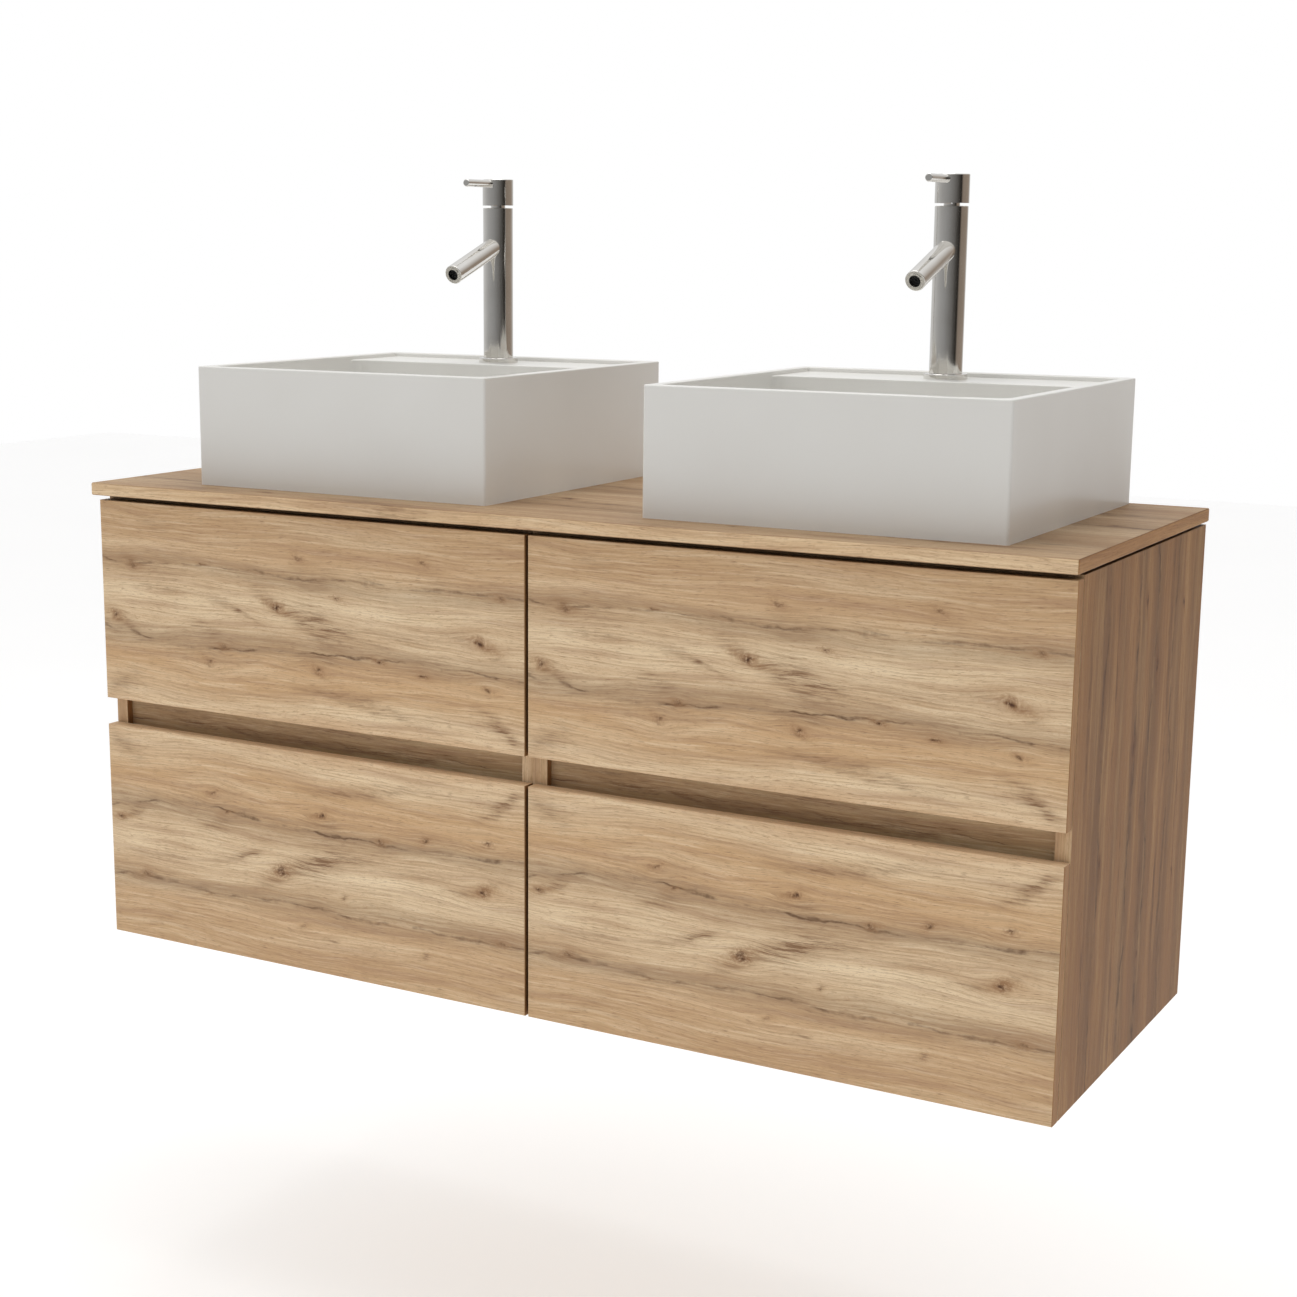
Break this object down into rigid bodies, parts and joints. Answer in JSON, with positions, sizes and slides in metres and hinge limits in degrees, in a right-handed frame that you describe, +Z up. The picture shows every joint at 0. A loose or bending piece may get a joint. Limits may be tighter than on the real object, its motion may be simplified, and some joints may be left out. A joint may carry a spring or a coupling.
{
  "type": "vessel sink on vanity",
  "caption": "Wall-hung double vanity: oak-look drawer cabinets, a slim countertop, square white vessel basins with a tap deck and chrome single-lever taps.",
  "frame": {"origin": "on the wall plane, where the two cabinets meet, level with the cabinets' undersides, where the mount wall_face is", "axes": "+X to the right seen from the front, +Y back into the wall, +Z up; the drawer fronts face -Y"},
  "size_m": [1.206, 0.461, 0.918],
  "materials": {
    "oak_decor": "light knotty oak decor with a fine open grain, satin, darker flat edge bands",
    "oak_carcass": "the same oak decor on the carcass panels, grain upright",
    "drawer_lining": "fine-textured light grey drawer lining board",
    "white_ceramic": "white glaze with a soft satin sheen",
    "polished_chrome": "polished",
    "zinc_steel": "zinc-plated steel sheet, rolled",
    "brass_thread": "turned, raw",
    "dark_plastic": "moulded acetal",
    "grey_plastic": "moulded polypropylene"
  },
  "bodies": {
    "cabinet": {"left_outer_side": "oak_carcass", "left_inner_side": "oak_carcass", "left_grip_rail": "oak_carcass", "left_bottom_panel": "oak_carcass", "left_back_panel": "oak_carcass", "left_hanging_rail": "oak_carcass", "left_runners": "zinc_steel", "left_basin": "white_ceramic", "left_waste_body": "polished_chrome", "left_trap": "polished_chrome", "left_outlet_pipe": "polished_chrome", "left_tap_base": "polished_chrome", "left_tap_body": "polished_chrome", "right_outer_side": "oak_carcass", "right_inner_side": "oak_carcass", "right_grip_rail": "oak_carcass", "right_bottom_panel": "oak_carcass", "right_back_panel": "oak_carcass", "right_hanging_rail": "oak_carcass", "right_runners": "zinc_steel", "right_basin": "white_ceramic", "right_waste_body": "polished_chrome", "right_trap": "polished_chrome", "right_outlet_pipe": "polished_chrome", "right_tap_base": "polished_chrome", "right_tap_body": "polished_chrome", "front_stretchers": "oak_carcass", "cabinet_connectors": "zinc_steel", "countertop": "oak_decor", "countertop_pads": "dark_plastic", "waste_nuts": "grey_plastic", "aerators": "polished_chrome", "cartridges": "grey_plastic", "tap_shanks": "brass_thread"},
    "left_upper_drawer": {"left_upper_front": "oak_decor", "left_upper_box": "drawer_lining", "left_upper_floor": "drawer_lining", "left_upper_slides": "zinc_steel"},
    "left_lower_drawer": {"left_lower_front": "oak_decor", "left_lower_box": "drawer_lining", "left_lower_floor": "drawer_lining", "left_lower_slides": "zinc_steel"},
    "left_tap_turret": {"left_turret": "polished_chrome"},
    "left_tap_handle": {"left_spindle": "zinc_steel", "left_tap_cap": "polished_chrome", "left_lever": "polished_chrome"},
    "left_waste_plug": {"left_waste_cap": "polished_chrome"},
    "right_upper_drawer": {"right_upper_front": "oak_decor", "right_upper_box": "drawer_lining", "right_upper_floor": "drawer_lining", "right_upper_slides": "zinc_steel"},
    "right_lower_drawer": {"right_lower_front": "oak_decor", "right_lower_box": "drawer_lining", "right_lower_floor": "drawer_lining", "right_lower_slides": "zinc_steel"},
    "right_tap_turret": {"right_turret": "polished_chrome"},
    "right_tap_handle": {"right_spindle": "zinc_steel", "right_tap_cap": "polished_chrome", "right_lever": "polished_chrome"},
    "right_waste_plug": {"right_waste_cap": "polished_chrome"}
  },
  "joints": [
    {"name": "left_upper_drawer_slide", "type": "slide", "parent": "cabinet", "child": "left_upper_drawer", "axis": [0, -1, 0], "range_m": [0, 0.3]},
    {"name": "left_lower_drawer_slide", "type": "slide", "parent": "cabinet", "child": "left_lower_drawer", "axis": [0, -1, 0], "range_m": [0, 0.3]},
    {"name": "left_tap_turn", "type": "hinge", "parent": "cabinet", "child": "left_tap_turret", "pos_m": [-0.278, -0.065, 0.893], "axis": [0, 0, 1], "range_deg": [-50, 50]},
    {"name": "left_tap_lift", "type": "hinge", "parent": "left_tap_turret", "child": "left_tap_handle", "pos_m": [-0.278, -0.065, 0.893], "axis": [-1, 0, 0], "range_deg": [0, 15]},
    {"name": "left_waste_lift", "type": "slide", "parent": "cabinet", "child": "left_waste_plug", "axis": [0, 0, 1], "range_m": [0, 0.007]},
    {"name": "right_upper_drawer_slide", "type": "slide", "parent": "cabinet", "child": "right_upper_drawer", "axis": [0, -1, 0], "range_m": [0, 0.3]},
    {"name": "right_lower_drawer_slide", "type": "slide", "parent": "cabinet", "child": "right_lower_drawer", "axis": [0, -1, 0], "range_m": [0, 0.3]},
    {"name": "right_tap_turn", "type": "hinge", "parent": "cabinet", "child": "right_tap_turret", "pos_m": [0.3165, -0.065, 0.893], "axis": [0, 0, 1], "range_deg": [-50, 50]},
    {"name": "right_tap_lift", "type": "hinge", "parent": "right_tap_turret", "child": "right_tap_handle", "pos_m": [0.3165, -0.065, 0.893], "axis": [-1, 0, 0], "range_deg": [0, 15]},
    {"name": "right_waste_lift", "type": "slide", "parent": "cabinet", "child": "right_waste_plug", "axis": [0, 0, 1], "range_m": [0, 0.007]}
  ]
}
